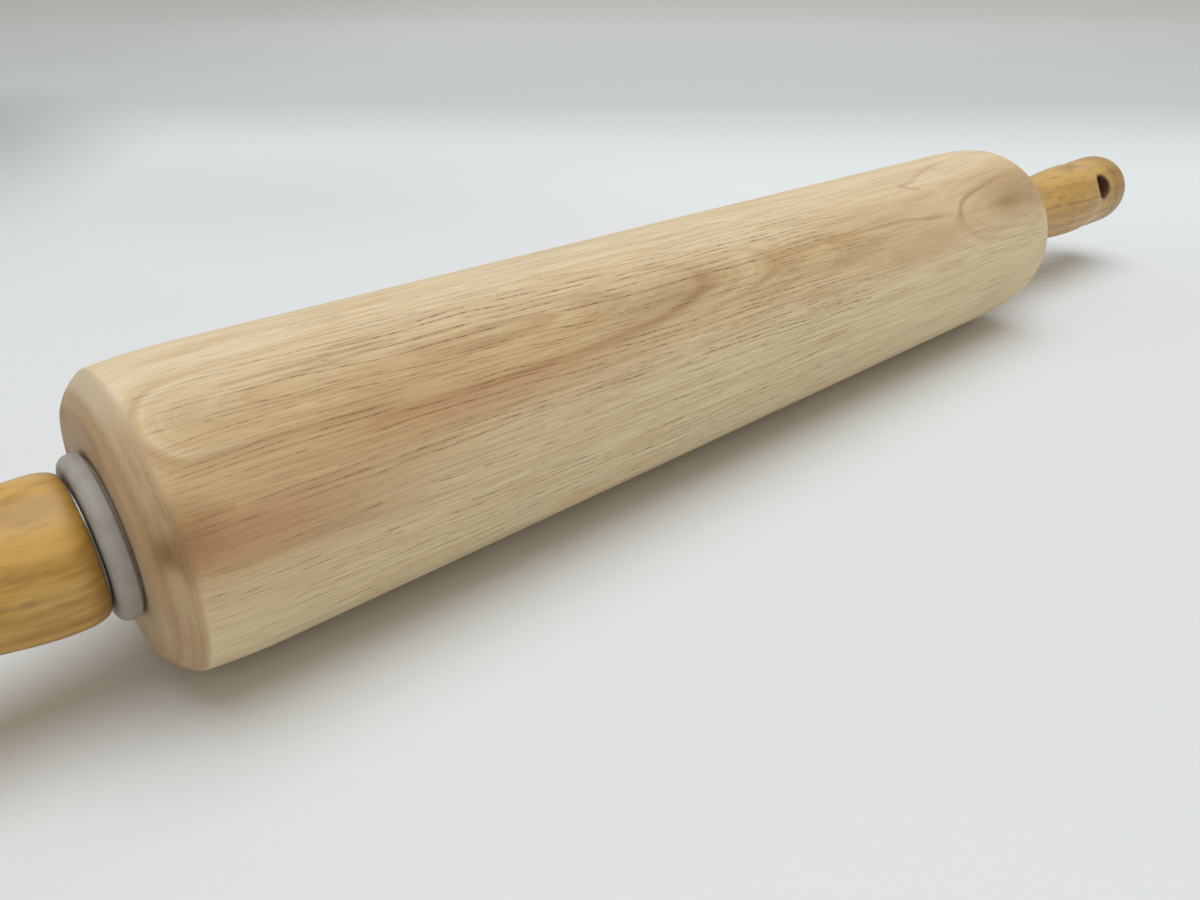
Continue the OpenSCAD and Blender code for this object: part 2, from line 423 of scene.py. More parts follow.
# %% [markdown]
# No real edge is a knife edge: it carries a small round, and that round is what catches the light.
# `eased` replaces each sharp corner of an outline by a short curve, with a supporting point on
# either side so that the smooth shading stays in the corner.

# %% Helpers that draw outlines
SHARP_TURN = math.radians(9)
CORNER_STEPS = 4


def arc(start, end, radius, steps):
    """The arc from start to end that bulges to the left of the way between them."""
    start, end = Vector(start), Vector(end)
    way = end - start
    left = Vector((-way.y, way.x)).normalized()
    centre = (start + end) / 2 - left * math.sqrt(radius**2 - way.length**2 / 4)
    first = math.atan2(start.y - centre.y, start.x - centre.x)
    last = math.atan2(end.y - centre.y, end.x - centre.x)
    angles = [first + (last - first) * i / steps for i in range(steps + 1)]
    return [(centre.x + radius * math.cos(a), centre.y + radius * math.sin(a)) for a in angles]


def bend(start, corner, end, t):
    """A point of the curve that leaves start towards the corner and arrives at end."""
    return start * (1 - t) ** 2 + corner * 2 * t * (1 - t) + end * t**2


def eased(outline, size, closed=False):
    """Rounds each sharp corner of an outline by about the given size."""
    points = [Vector(p) for p in outline]
    points = [p for i, p in enumerate(points) if i == 0 or (p - points[i - 1]).length > 1e-6]
    result = []
    for i, point in enumerate(points):
        inner = 0 < i < len(points) - 1
        if not inner and not closed:
            result.append(point)
            continue
        before = points[i - 1] if i > 0 else points[-2]
        after = points[i + 1] if i < len(points) - 1 else points[1]
        come, go = point - before, after - point
        if abs(come.angle_signed(go)) < SHARP_TURN:
            result.append(point)
            continue
        if i == len(points) - 1:
            continue
        near = []
        support = []
        for way in (-come, go):
            cut = min(size, 0.4 * way.length)
            near.append(point + way.normalized() * cut)
            roomy = way.length > 8 * size
            support.append([point + way.normalized() * 3 * cut] if roomy else [])
        result += support[0]
        result += [bend(near[0], point, near[1], k / CORNER_STEPS) for k in range(CORNER_STEPS + 1)]
        result += support[1]
    if closed:
        result.append(result[0].copy())
    return [(p.x, p.y) for p in result]


print("outline helpers ready")

# %% [markdown]
# ## The wood of the barrel
#
# The barrel is pale, sanded and unfinished rubberwood. Wood is a solid, so its rings are written as
# a solid too: the distance from a pith below the barrel gives growth rings, and the surface cuts
# through them wherever it happens to be. That gives flames, stripes and arcs.
# The vessels are long pipes. Where the lathe cuts one open it shows as a thin dark line, broken
# into dashes, so they are drawn as lanes along the piece, each with its own White Noise chances.

# %% Figure of the wood: coordinates, rings and vessels
PITH_DEPTH = 60.0
PER_MM = (1000, 1000, 1000)
LANE_WANDER = 4.0
LANE_RIPPLE = 1.6
FAR_APART = 500.0


def millimetres(bench):
    """The place on the piece in millimetres, and its X, Y and Z."""
    place = bench.add("ShaderNodeTexCoord").outputs["Object"]
    place = bench.vector("MULTIPLY", place, PER_MM)
    parts = bench.add("ShaderNodeSeparateXYZ", {0: place}).outputs
    return place, parts["X"], parts["Y"], parts["Z"]


def turned_to(bench, y, z, tilt):
    """Height and offset of a point, seen with the given tilt above the horizontal as up."""
    cosine, sine = bench.calc("COSINE", tilt), bench.calc("SINE", tilt)
    height = bench.calc("SUBTRACT", bench.times(z, sine), bench.times(y, cosine))
    offset = bench.calc("ADD", bench.times(y, sine), bench.times(z, cosine))
    return height, offset


def ring_distance(bench, place, height, offset, swell):
    """Distance from the pith, with a little drift and the given swelling along the piece."""
    height = bench.calc("ADD", height, PITH_DEPTH)
    distance = bench.calc("SQRT", bench.scaled(height, height, bench.times(offset, offset)))
    drift = bench.calc("SUBTRACT", bench.stretched(place, (0.012, 0.06, 0.06), 1), 0.5)
    return bench.scaled(drift, 0.4, bench.calc("ADD", distance, swell))


def ring_arc(bench, rings, radius):
    """How far round from the flame's middle a ring cuts a cylinder of the given radius."""
    square = bench.calc("SUBTRACT", bench.times(rings, rings), PITH_DEPTH**2 + radius**2)
    cosine = bench.calc("DIVIDE", square, 2 * PITH_DEPTH * radius)
    cosine = bench.calc("MINIMUM", bench.most(cosine, -1), 1)
    return bench.times(bench.calc("ARCCOSINE", cosine), radius)


def vessels(bench, x, arc_place, gap, width, run, bead, share):
    """Pores cut along their length: a lane every gap, each a thin line broken into dashes."""
    spot = bench.point(X=bench.times(x, 0.014), Y=bench.times(arc_place, 0.06))
    wander = bench.times(bench.noise(spot, 1, 1), LANE_WANDER / gap)
    ripple = bench.times(bench.stretched(spot, (4, 4, 1), 1), LANE_RIPPLE / gap)
    lane = bench.calc("ADD", bench.scaled(arc_place, 1 / gap, wander), ripple)
    number = bench.calc("FLOOR", lane)
    chance = bench.add("ShaderNodeTexWhiteNoise", {"W": number}, noise_dimensions="1D")
    chance = bench.add("ShaderNodeSeparateColor", {0: chance.outputs["Color"]}).outputs
    middle = bench.calc("ADD", number, bench.scaled(chance[0], 0.6, 0.2))
    away = bench.calc("ABSOLUTE", bench.calc("SUBTRACT", lane, middle))
    body = bench.fade(bench.times(away, gap), width * 0.8, 0)
    runs = bench.scaled(x, 1 / run, bench.times(chance[1], FAR_APART))
    begins = 0.6 - 0.3 * share
    runs = bench.fade(bench.noise_along(runs, 1, 1), begins, begins + 0.12)
    beads = bench.scaled(x, 1 / bead, bench.times(chance[2], FAR_APART))
    beads = bench.fade(bench.noise_along(beads, 1, 2, 0.6), 0.42, 0.64)
    depth = bench.scaled(bench.times(chance[1], chance[1]), 0.65, 0.35)
    return bench.times(body, runs, bench.scaled(beads, 0.5, 0.5), depth)


print("wood figure ready")

# %% [markdown]
# The growth rings of a real board aren't round: they swell and sink along it, and that is what
# closes a flame at its tips. Two Float Curves do this here. One says at which angle round the
# barrel the flame lies, and the other how far the rings swell.

# %% Rings and colours of the barrel
MM_PER_DEGREE = math.pi * 30 / 180
FLAME_TILT = (
    (-152, 57.5), (-125, 57), (-95, 54.5), (-60, 53), (-15, 51), (50, 41), (95, 37.5), (152, 38),
)
RING_SWELL = (
    (-152, -2.44), (-148, -1.42), (-145.3, -0.93), (-143, -0.63), (-140.5, -0.44), (-137, -0.36),
    (-120, -0.15), (-81, 0), (-48, -0.25), (-18.2, -0.93), (15, -2), (50, -2.7), (80, -2.55),
    (90, -2.33), (93.3, -2.2), (96, -1.95), (99, -1.75), (104, -1.55), (117, -1.2), (140, -0.6),
    (152, -0.4),
)
FLAME_RING = 89.07
FAR_FLAME_RING = 87.8
PALE_WOOD = linear(230, 210, 172)
TAN_WOOD = linear(209, 180, 136)
DEEP_WOOD = linear(160, 122, 80)
WARM_WOOD = linear(200, 164, 114)
CREAM_WOOD = linear(232, 214, 174)
PINK_WOOD = linear(186, 136, 98)
SMOKE_WOOD = linear(162, 136, 104)
VESSEL_BROWN = linear(102, 66, 28)
END_WOOD = linear(188, 156, 118)
END_WOOD_DARK = linear(166, 134, 98)
END_WOOD_PALE = linear(203, 178, 145)
# painted reflection: the grey that the top of each end takes from the backdrop
END_WOOD_REFLECTED_GREY = linear(205, 186, 158)
KNOT_BROWN = linear(124, 92, 46)

bare_wood, bench, shader = new_material("bare_rubberwood")
place, x, y, z = millimetres(bench)
around = bench.times(bench.calc("ARCTAN2", z, bench.times(y, -1)), 180 / math.pi)
tilt = bench.times(bench.curve(x, FLAME_TILT), math.pi / 180)
height, offset = turned_to(bench, y, z, tilt)
turned_off = bench.vector("LENGTH", bench.vector("MULTIPLY", place, (0, 1, 1)))
turned_off = bench.calc("MINIMUM", bench.most(bench.calc("SUBTRACT", 30, turned_off), 0), 1)
swell = bench.calc("ADD", bench.curve(x, RING_SWELL), turned_off)
rings = ring_distance(bench, place, height, offset, swell)
print("rings ready")

# %% [markdown]
# The ground colour comes first: faint stripes from the rings, then soft patches where the wood is
# warmer, greyer or paler. A patch is a hill along the barrel times a hill around it. Its numbers
# say where along the barrel and how far it reaches, at which angle and how far, and how strong.

# %% Ground colour
GROUND_PATCHES = (
    (-105, 75, 42, 30, 0.4, WARM_WOOD),
    (-150, 90, 16, 36, 0.65, WARM_WOOD),
    (140, 52, 50, 32, 0.8, WARM_WOOD),
    (135, 45, 44, 28, 0.55, SMOKE_WOOD),
    (-32, 34, 46, 15, 0.45, SMOKE_WOOD),
)


def patch(along, reach, angle, spread, share=1):
    """A soft patch on the barrel, by millimetres along it and degrees around it."""
    return bench.times(bench.hill(x, along, reach), bench.hill(around, angle, spread), share)


stripes = bench.noise_along(rings, 0.42, 3, 0.6)
colour = bench.tint(PALE_WOOD, TAN_WOOD, bench.fade(stripes, 0.30, 0.70), 0.25)
heart = bench.times(bench.hill(around, 45, 40), bench.fade(x, 190, 20))
colour = bench.tint(colour, TAN_WOOD, heart, 0.95)
for *spot, tone in GROUND_PATCHES:
    colour = bench.tint(colour, tone, patch(*spot))
# Paler on the camera's side of the barrel: partly the wood's own pale stripe, partly painted light
# on the side that faces the front.
pale_wood_and_painted_light = bench.times(bench.hill(around, 0, 37), bench.fade(x, -150, 60))
colour = bench.tint(colour, CREAM_WOOD, pale_wood_and_painted_light, 0.9)

streaks = bench.times(ring_arc(bench, rings, 30), 0.75)
streaks = bench.noise(bench.point(X=bench.times(x, 0.03), Y=streaks), 1, 3, 0.6)
streaky = bench.most(patch(-90, 85, 54, 26), patch(10, 60, 45, 30))
streaky = bench.scaled(streaky, 0.36, 0.14)
colour = bench.tint(colour, DEEP_WOOD, bench.fade(streaks, 0.44, 0.68), streaky)
colour = bench.tint(colour, PALE_WOOD, bench.times(bench.fade(streaks, 0.46, 0.30), streaky), 0.8)
colour = bench.tint(colour, PALE_WOOD, patch(0, 50, 68, 20, 0.6))
print("ground colour with", len(GROUND_PATCHES), "patches")

# %% [markdown]
# Single growth lines give the wood its drawing. The long flame and the loop near the far end are
# rings that the surface really cuts. The lines beside them are strokes: each follows a few points
# of millimetres along and degrees around the barrel, and fades at both ends.

# %% Flames and strokes
LINE_WIDTH = 0.2
STROKES = (
    (((-143, 46), (-137, 42.5), (-124, 41.3), (-112, 41), (-104, 41.5)), 1, 0.75),
    (((-118, 37.5), (-95, 35.5), (-76, 35), (-51, 36), (-35, 39), (-23, 46)), 1.6, 0.75),
    (((-118, 36), (-95, 34.5), (-76, 34), (-55, 35)), 2.6, 0.35),
    (((-135, 63.5), (-122, 65), (-111, 64.5), (-100, 65)), 0.7, 0.7),
    (((-112, 68), (-102, 68.5), (-92, 68)), 0.8, 0.5),
    (((-121, 61), (-108, 62), (-96, 64.5)), 0.7, 0.45),
    (((-138, 51), (-122, 51.5), (-108, 51.8)), 0.7, 0.45),
    (((-10, 51), (15, 50.6), (34, 49.6), (50, 48.8), (66, 47.6), (78, 44.5), (96, 42)), 0.9, 0.7),
    (((78, 70.5), (84, 73), (93, 78), (104, 83), (112, 85.5)), 1.4, 0.5),
    (((76.5, 71.5), (80, 68), (85, 64.5)), 1.6, 0.55),
    (((-147, 24.5), (-142, 25.2), (-137, 25)), 1, 0.9),
    (((-149, 21), (-140, 20.5), (-132, 20)), 0.9, 0.6),
    (((-147, 7.5), (-130, 7), (-114, 7.5)), 0.9, 0.5),
    (((95, 30), (103, 27.5), (117, 25.5), (142, 20)), 1.2, 0.3),
)


def ring_line(ring, *limits):
    """The line where the surface cuts one ring, kept within the limits."""
    return bench.times(bench.hill(rings, ring, LINE_WIDTH), *limits)


def stroke(points, width, strength):
    """A soft line drawn along the barrel through (mm along, degrees around) points."""
    away = bench.calc("ABSOLUTE", bench.calc("SUBTRACT", around, bench.curve(x, points)))
    line = bench.fade(away, width / MM_PER_DEGREE, 0)
    begin, finish = points[0][0], points[-1][0]
    margin = (finish - begin) * 0.15
    ends = bench.times(bench.fade(x, begin, begin + margin), bench.fade(x, finish, finish - margin))
    return bench.times(line, ends, strength)


rim = ring_line(FLAME_RING + 0.05, bench.fade(x, -122, -142))
colour = bench.tint(colour, PALE_WOOD, rim, 0.5)
under_rim = ring_line(FLAME_RING - 0.22, bench.fade(x, -110, -138))
colour = bench.tint(colour, DEEP_WOOD, under_rim, 0.3)
flame_side = bench.scaled(bench.fade(around, 58, 42), 0.8, 0.2)
flame = ring_line(FLAME_RING, bench.fade(x, -136, -80), bench.fade(x, -14, -22), flame_side)
loop_side = bench.scaled(bench.fade(around, 30, 45), 0.7, 0.3)
loop = ring_line(FAR_FLAME_RING, bench.fade(x, 146, 100), bench.fade(x, 86, 91), loop_side)
smear = bench.most(patch(-20.5, 6, 51, 4.5), patch(124, 16, 40, 6.5))
lines = bench.most(flame, loop, smear, patch(78.5, 4, 71, 3.5, 0.8))
lines = bench.most(lines, *(stroke(*row) for row in STROKES))
colour = bench.tint(colour, DEEP_WOOD, lines, 0.62)

pink = bench.most(patch(-148, 55, 16, 16), patch(75, 45, 31, 12, 0.3))
pink = bench.most(pink, patch(-90, 70, 30, 13, 0.5))
colour = bench.tint(colour, PINK_WOOD, pink, 0.8)
colour = bench.tint(colour, DEEP_WOOD, patch(-146, 9, 22, 18, 0.75))
print(len(STROKES), "strokes drawn")

# %% [markdown]
# Fibres give faint streaks along the grain, much finer than the rings. Then come the vessels,
# in three sizes. They lean a little off the barrel's axis, because a blank is never sawn quite
# along the grain, and they are clearer in some places than in others.

# %% Fibres and vessels
VESSEL_LEAN = 0.03

fibres = bench.stretched(place, (0.03, 1.8, 1.8), 4, 0.6)
crisp = bench.scaled(bench.fade(x, -150, -105), 0.2, 0.1)
colour = bench.tint(colour, DEEP_WOOD, bench.fade(fibres, 0.42, 0.70), crisp)
cloudy = bench.stretched(place, (0.05, 0.25, 0.25))
colour = bench.tint(colour, WARM_WOOD, bench.fade(cloudy, 0.5, 0.75), 0.30)

arc_place = bench.scaled(x, VESSEL_LEAN, bench.times(around, MM_PER_DEGREE))
fine = vessels(bench, x, arc_place, 0.8, 0.24, 16, 3, 0.75)
arc_place = bench.calc("ADD", arc_place, FAR_APART)
bold = vessels(bench, x, arc_place, 1.35, 0.33, 19, 3, 0.72)
arc_place = bench.calc("ADD", arc_place, 400)
short = vessels(bench, x, arc_place, 1.9, 0.36, 10, 3, 0.5)
busy = bench.most(patch(-80, 120, 48, 42), patch(10, 75, 40, 48))
busy = bench.scaled(bench.fade(busy, 0, 0.6), 0.4, 0.6)
clear = bench.scaled(bench.fade(x, -150, -90), 0.45, 0.55)
clear = bench.scaled(bench.times(clear, bench.fade(x, 70, 10)), 0.7, 0.3)
pores = bench.times(bench.most(bench.times(fine, 0.5), bold), busy)
pores = bench.most(pores, bench.times(short, bench.fade(around, 38, 20), 0.8))
from_middle = bench.calc("ABSOLUTE", x)
pores = bench.times(pores, bench.fade(from_middle, 147.5, 144), clear)
colour = bench.mix(pores, colour, VESSEL_BROWN)
print("vessels drawn")

# %% [markdown]
# Where the turner's arc cuts the wood across, the vessels are seen end on and the surface looks
# darker and smoother, so the barrel's two ends get their own tone and a small brown knot. The top
# of each end carries a painted grey reflection of the backdrop. Sanding across the grain leaves a
# faint cross hatch, which together with the pores makes the bump.

# %% Ends and relief of the barrel's wood
turned_lines = bench.noise_along(bench.scaled(fibres, 1.2, x), 1.6, 2, 0.6)
end_tone = bench.tint(END_WOOD, END_WOOD_DARK, bench.fade(turned_lines, 0.35, 0.65))
end_clouds = bench.stretched(place, (0.3, 0.09, 0.09))
end_tone = bench.tint(end_tone, END_WOOD_PALE, bench.fade(end_clouds, 0.4, 0.65), 0.5)
# Painted reflection: the top of each end is tinted grey, as if it mirrored the darker backdrop.
painted_backdrop_reflection = bench.times(bench.fade(around, 45, 80), bench.fade(from_middle, 151.4, 149.5))
end_tone = bench.tint(end_tone, END_WOOD_REFLECTED_GREY, painted_backdrop_reflection, 0.8)
end_tone = bench.tint(end_tone, END_WOOD_DARK, bench.hill(from_middle, 150.6, 1.3), 0.6)
face_zone = bench.times(bench.fade(from_middle, 151.2, 151.4), bench.fade(around, 75, 50))
end_tone = bench.tint(end_tone, END_WOOD_PALE, face_zone, 0.5)
colour = bench.tint(colour, end_tone, bench.fade(from_middle, 145.9, 147.4), 0.85)
colour = bench.tint(colour, KNOT_BROWN, patch(-149, 2.4, 17, 10, 0.75))
colour = bench.tint(colour, KNOT_BROWN, patch(-147, 1.8, 18, 22, 0.45))

grain = bench.stretched(place, (0.5, 5, 5), 3)
hatch = bench.stretched(place, (4, 0.7, 0.7))
relief = bench.scaled(grain, 0.15, bench.times(hatch, 0.10))
relief = bench.scaled(pores, -0.5, relief)
dress(bench, shader, colour, 0.62, relief, 0.3, 0.0004, {"Specular IOR Level": 0.3})
print("bare wood with", len(bare_wood.node_tree.nodes), "nodes")

# %% [markdown]
# ## The barrel
#
# On the real pin the barrel is turned between centres, sanded, and bored for the rod from both
# ends. Its ends are eased in two steps: a long soft arc down to a crease, and a tighter arc to the
# flat face. The outline goes once round the section, along the outside and back through the bore.

# %% Barrel
BARREL_R = 30.0
BARREL_HALF = 151.5
FACE_R = 23.7
CREASE_IN = 4.7
CREASE_R = 29.0
END_ARC_R = 12.0
SHOULDER_ARC_R = 120.0
POCKET_R = 10.0
POCKET_L = 22.6
BORE_R = 6.0

drop = BARREL_R - CREASE_R
shoulder = math.sqrt(2 * SHOULDER_ARC_R * drop - drop * drop)
end_line = arc((0, FACE_R), (CREASE_IN, CREASE_R), END_ARC_R, 14)
end_line += arc((CREASE_IN, CREASE_R), (CREASE_IN + shoulder, BARREL_R), SHOULDER_ARC_R, 16)[1:]
left_end = [(p[0] - BARREL_HALF, p[1]) for p in end_line]
right_end = [(-p[0], p[1]) for p in reversed(left_end)]
body_rows = 18
body_from = left_end[-1][0]
body = [(body_from * (1 - 2 * i / body_rows), BARREL_R) for i in range(1, body_rows)]
pocket_at = BARREL_HALF - POCKET_L
bore = [
    (BARREL_HALF, POCKET_R), (pocket_at, POCKET_R), (pocket_at, BORE_R),
    (-pocket_at, BORE_R), (-pocket_at, POCKET_R), (-BARREL_HALF, POCKET_R),
]
section = left_end + body + right_end + bore + left_end[:1]
roller = turn("roller_turned", eased(section, 0.6, closed=True), bare_wood, 256)

# %% [markdown]
# ## The bushes
#
# Each bush is one moulding of grey nylon: a flange that shows, a seat step that holds it off the
# wood, and a hub with crush ribs that bite when it is pressed in. Moulded nylon is even in colour,
# with a faint cloudiness, and its skin is finely pitted, which keeps the highlight soft.

# %% Grey nylon
NYLON = linear(170, 165, 157)
NYLON_DARK = linear(162, 156, 147)

nylon, bench, shader = new_material("grey_nylon")
place = millimetres(bench)[0]
cloud = bench.fade(bench.noise(place, 0.25, 3.0), 0.35, 0.65)
pits = bench.noise(place, 7.0, 2.0)
colour = bench.mix(cloud, NYLON, NYLON_DARK)
roughness = bench.scaled(pits, 0.15, 0.46)
dress(bench, shader, colour, roughness, pits, 0.12, 0.0001, {"Specular IOR Level": 0.45})
print("nylon ready")

# %% [markdown]
# The ribs repeat, so a second tree makes one rib and places it on every corner of a circle. The
# circle and the rib are both made upright, and a quarter turn lays them along X.

# %% Ribs around the hub
QUARTER_TURN = (0, math.pi / 2, 0)
RIB_INPUTS = (
    ("Body", "Geometry"), ("Count", "Int"), ("Ring radius", "Float"), ("Rib radius", "Float"),
    ("Rib length", "Float"), ("Middle", "Float"),
)

RIBS, bench, given = new_tree("ribs", RIB_INPUTS, "Ribbed")
ring = {"Vertices": given["Count"], "Radius": given["Ring radius"]}
ring = bench.add("GeometryNodeMeshCircle", ring).outputs[0]
middle = bench.point(X=given["Middle"])
upright = {"Geometry": ring, "Translation": middle, "Rotation": QUARTER_TURN}
upright = bench.add("GeometryNodeTransform", upright).outputs[0]
rib = {"Vertices": 24, "Radius": given["Rib radius"], "Depth": given["Rib length"]}
rib = bench.add("GeometryNodeMeshCylinder", rib).outputs[0]
lying = bench.add("GeometryNodeTransform", {"Geometry": rib, "Rotation": QUARTER_TURN}).outputs[0]
placed = bench.add("GeometryNodeInstanceOnPoints", {"Points": upright, "Instance": lying})
joined = bench.add("GeometryNodeJoinGeometry")
bench.feed(joined.inputs[0], placed.outputs[0])
bench.feed(joined.inputs[0], given["Body"])
real = bench.add("GeometryNodeRealizeInstances", {0: joined.outputs[0]})
bench.add("NodeGroupOutput", {"Ribbed": real.outputs[0]})
print("rib tree with", len(RIBS.nodes), "nodes")

# %% [markdown]
# The bush's outline is measured from the barrel's end face. Turning it the other way round for the
# second bush only takes a change of sign, so one loop makes both.

# %% Bushes
SIDES = ((-1, "left"), (1, "right"))
FLANGE_R = 15.6
FLANGE_TOP = 4.1
FRONT_ROUND = 2.0
BACK_ROUND = 0.5
SEAT_H = 0.6
SEAT_R = 14.1
HUB_R = 9.58
HUB_L = 22.0
HUB_LEAD = 1.0
BUSH_BORE_R = 4.08
BORE_LEAD = 0.5
RIB_COUNT = 8
RIB_R = 0.9
RIB_RING_R = HUB_R + 0.4 - RIB_R
RIB_FROM = 2 * HUB_LEAD - HUB_L
RIB_TO = SEAT_H / 2
RIB_MIDDLE = BARREL_HALF + (RIB_FROM + RIB_TO) / 2

bush_line = [
    (-HUB_L, BUSH_BORE_R), (-HUB_L, HUB_R - HUB_LEAD), (HUB_LEAD - HUB_L, HUB_R),
    (0, HUB_R), (0, SEAT_R), (SEAT_H, SEAT_R),
]
bush_line += arc((SEAT_H, FLANGE_R - BACK_ROUND), (SEAT_H + BACK_ROUND, FLANGE_R), BACK_ROUND, 8)
front = (FLANGE_TOP - FRONT_ROUND, FLANGE_R), (FLANGE_TOP, FLANGE_R - FRONT_ROUND)
bush_line += arc(*front, FRONT_ROUND, 12)
bush_line += [
    (FLANGE_TOP, BUSH_BORE_R + BORE_LEAD), (FLANGE_TOP - BORE_LEAD, BUSH_BORE_R),
    (-HUB_L, BUSH_BORE_R),
]
bushes = {}
for side, name in SIDES:
    line = [(side * (BARREL_HALF + d), r) for d, r in eased(bush_line, 0.15, closed=True)]
    bush = turn(name + "_bushing_moulded", line, nylon, 160)
    sizes = {"Ring radius": RIB_RING_R, "Rib radius": RIB_R, "Rib length": RIB_TO - RIB_FROM}
    ribs = {label: size * MM for label, size in sizes.items()}
    ribs |= {"Count": RIB_COUNT, "Middle": side * RIB_MIDDLE * MM}
    bushes[name] = run_tree(bush, RIBS, ribs, nylon)

# %% [markdown]
# ## Rod and washers
#
# The rod is drawn steel, so its fine lines run along it. The washers are stamped, and show only as
# a thin bright edge between bush and handle. Steel is a metal: its colour is what it reflects, and
# its scratches show mostly in the roughness.


# %% Steel
def steel(name, colour, stretch):
    material, bench, shader = new_material(name)
    scratches = bench.stretched(millimetres(bench)[0], stretch, 4.0, 0.65)
    colour = bench.mix(scratches, colour, tuple(0.8 * c for c in colour))
    roughness = bench.fade(scratches, -0.4, 1.9, smooth=False)
    dress(bench, shader, colour, roughness, scratches, 0.1, 0.00005, {"Metallic": 1.0})
    return material


drawn_steel = steel("drawn_steel", linear(220, 220, 217), (0.4, 14.0, 14.0))
stamped_steel = steel("stamped_steel", linear(150, 147, 140), (9.0, 3.0, 3.0))
print("steel ready")

# %% [markdown]
# The rod is drawn from one end to its middle, with its glue grooves, and mirrored.

# %% Rod and washers
HANDLE_AT = 156.2
WASHER_R = 11.5
WASHER_BORE_R = 4.1
WASHER_T = 0.5
ROD_R = 4.0
ROD_HALF = 212.166
ROD_CHAMFER = 0.8
GROOVES = 5
GROOVE_PITCH = 8.0
GROOVE_W = 1.6
GROOVE_DEPTH = 0.35
EDGE_EASE = 0.12

half_rod = [(ROD_HALF, 0), (ROD_HALF, ROD_R - ROD_CHAMFER), (ROD_HALF - ROD_CHAMFER, ROD_R)]
for i in range(1, GROOVES + 1):
    middle = ROD_HALF - i * GROOVE_PITCH
    for way, depth in ((1, 0), (1, GROOVE_DEPTH), (-1, GROOVE_DEPTH), (-1, 0)):
        half_rod.append((middle + way * GROOVE_W / 2, ROD_R - depth))
rod_line = half_rod + [(-x, r) for x, r in reversed(half_rod)]
rod = turn("axle_rod_drawn", eased(rod_line, EDGE_EASE), drawn_steel, 64)

washers = {}
inner, outer = HANDLE_AT - WASHER_T, HANDLE_AT
washer = [(inner, WASHER_BORE_R), (inner, WASHER_R), (outer, WASHER_R), (outer, WASHER_BORE_R)]
washer = eased(washer + washer[:1], EDGE_EASE, closed=True)
for side, name in SIDES:
    line = [(side * x, r) for x, r in washer]
    washers[name] = turn(name + "_washer_stamped", line, stamped_steel, 128)

# %% [markdown]
# ## The lacquered wood of the handles
#
# The handles are the same wood under a clear golden lacquer. A lacquer is a second, smoother
# surface over the wood, which is what the Coat inputs of the Principled shader are for: the grain
# stays rough and dark below, and the coat carries the soft highlight. The colour darkens towards
# the tip, and painted shade darkens the inner end beside the washer and the rim of the hang hole.

# %% Lacquered wood
HANDLE_L = 105.0
HANDLE_R = 14.0
HOLE_X = HANDLE_AT + HANDLE_L - 28.5
HOLE_R = 4.5
HOLE_TILT = math.radians(27)
ACROSS = Vector((0, math.sin(HOLE_TILT), math.cos(HOLE_TILT)))
THROUGH = Vector((0, -math.cos(HOLE_TILT), math.sin(HOLE_TILT)))
HONEY = linear(206, 161, 72)
AMBER = linear(172, 126, 44)
UMBER = linear(116, 74, 22)
STRAW = linear(212, 170, 94)
LACQUER = {"Specular IOR Level": 0.3, "Coat Weight": 0.6, "Coat Roughness": 0.36}

lacquered, bench, shader = new_material("lacquered_wood")
place, x, y, z = millimetres(bench)
height, offset = turned_to(bench, y, z, bench.scaled(x, 0.0006, 1.35))
swirl = bench.times(bench.stretched(place, (0.03, 0.05, 0.05), 1.0), 4.0)
rings = ring_distance(bench, place, height, offset, swirl)
stripes = bench.noise_along(rings, 0.45, 2.0)
colour = bench.tint(HONEY, AMBER, bench.fade(stripes, 0.30, 0.70), 0.85)
clouds = bench.stretched(place, (0.07, 0.16, 0.16))
colour = bench.tint(colour, STRAW, bench.fade(clouds, 0.45, 0.7), 0.5)
mottle = bench.stretched(place, (0.12, 0.5, 0.5))
colour = bench.tint(colour, UMBER, bench.fade(mottle, 0.45, 0.8), 0.42)
turned = bench.times(bench.calc("ARCTAN2", z, bench.times(y, -1.0)), HANDLE_R)
fine = vessels(bench, x, turned, 0.9, 0.3, 9.0, 1.8, 0.35)
colour = bench.tint(colour, UMBER, fine, 0.35)
from_middle = bench.calc("ABSOLUTE", x)
# Painted shade at the inner end, where the handle meets the washer and bush; the tip is darker
# towards its end.
painted_shade_by_bush = bench.fade(from_middle, HANDLE_AT + 4.5, HANDLE_AT)
tip_end = bench.times(bench.fade(from_middle, HANDLE_AT + 78.0, HANDLE_AT + 92.0), 0.75)
colour = bench.tint(colour, UMBER, bench.most(painted_shade_by_bush, tip_end), 0.55)
beside = bench.vector("DOT_PRODUCT", place, ACROSS)
past = bench.calc("SUBTRACT", x, HOLE_X)
from_hole = bench.calc("SQRT", bench.scaled(beside, beside, bench.times(past, past)))
# Painted shade round the rim of the hang hole.
colour = bench.tint(colour, UMBER, bench.fade(from_hole, HOLE_R + 2.0, HOLE_R + 0.4), 0.7)
relief = bench.scaled(fine, -0.4, bench.times(mottle, 0.2))
dress(bench, shader, colour, 0.5, relief, 0.15, 0.0004, LACQUER)
print("lacquered wood ready")

# %% [markdown]
# ## The handles
#
# A handle is one outline too: a rounded lip against the washer, a waist for the fingers, a belly,
# then the turner's marks, a shallow cove and a ring groove with crisp arrises, and a domed tip.
# The blind bore for the rod belongs to the same section.

# %% Handle outline
LIP_R = 14.2
LIP_ROUND = 4.6
LIP_DROP = 1.8
LIP_AT = 5.5
WAIST_R = 11.9
WAIST_AT = 25.5
COVE_AT = 69.5
ARRIS_AT = 83.5
RING_AT = 89.0
COVE_DEPTH = 0.5
RING_DEPTH = 0.35
DOME_L = 10.5
GRIP_BORE_R = 4.05
GRIP_BORE_L = 56.566
GRIP_DRILL_L = 59.0


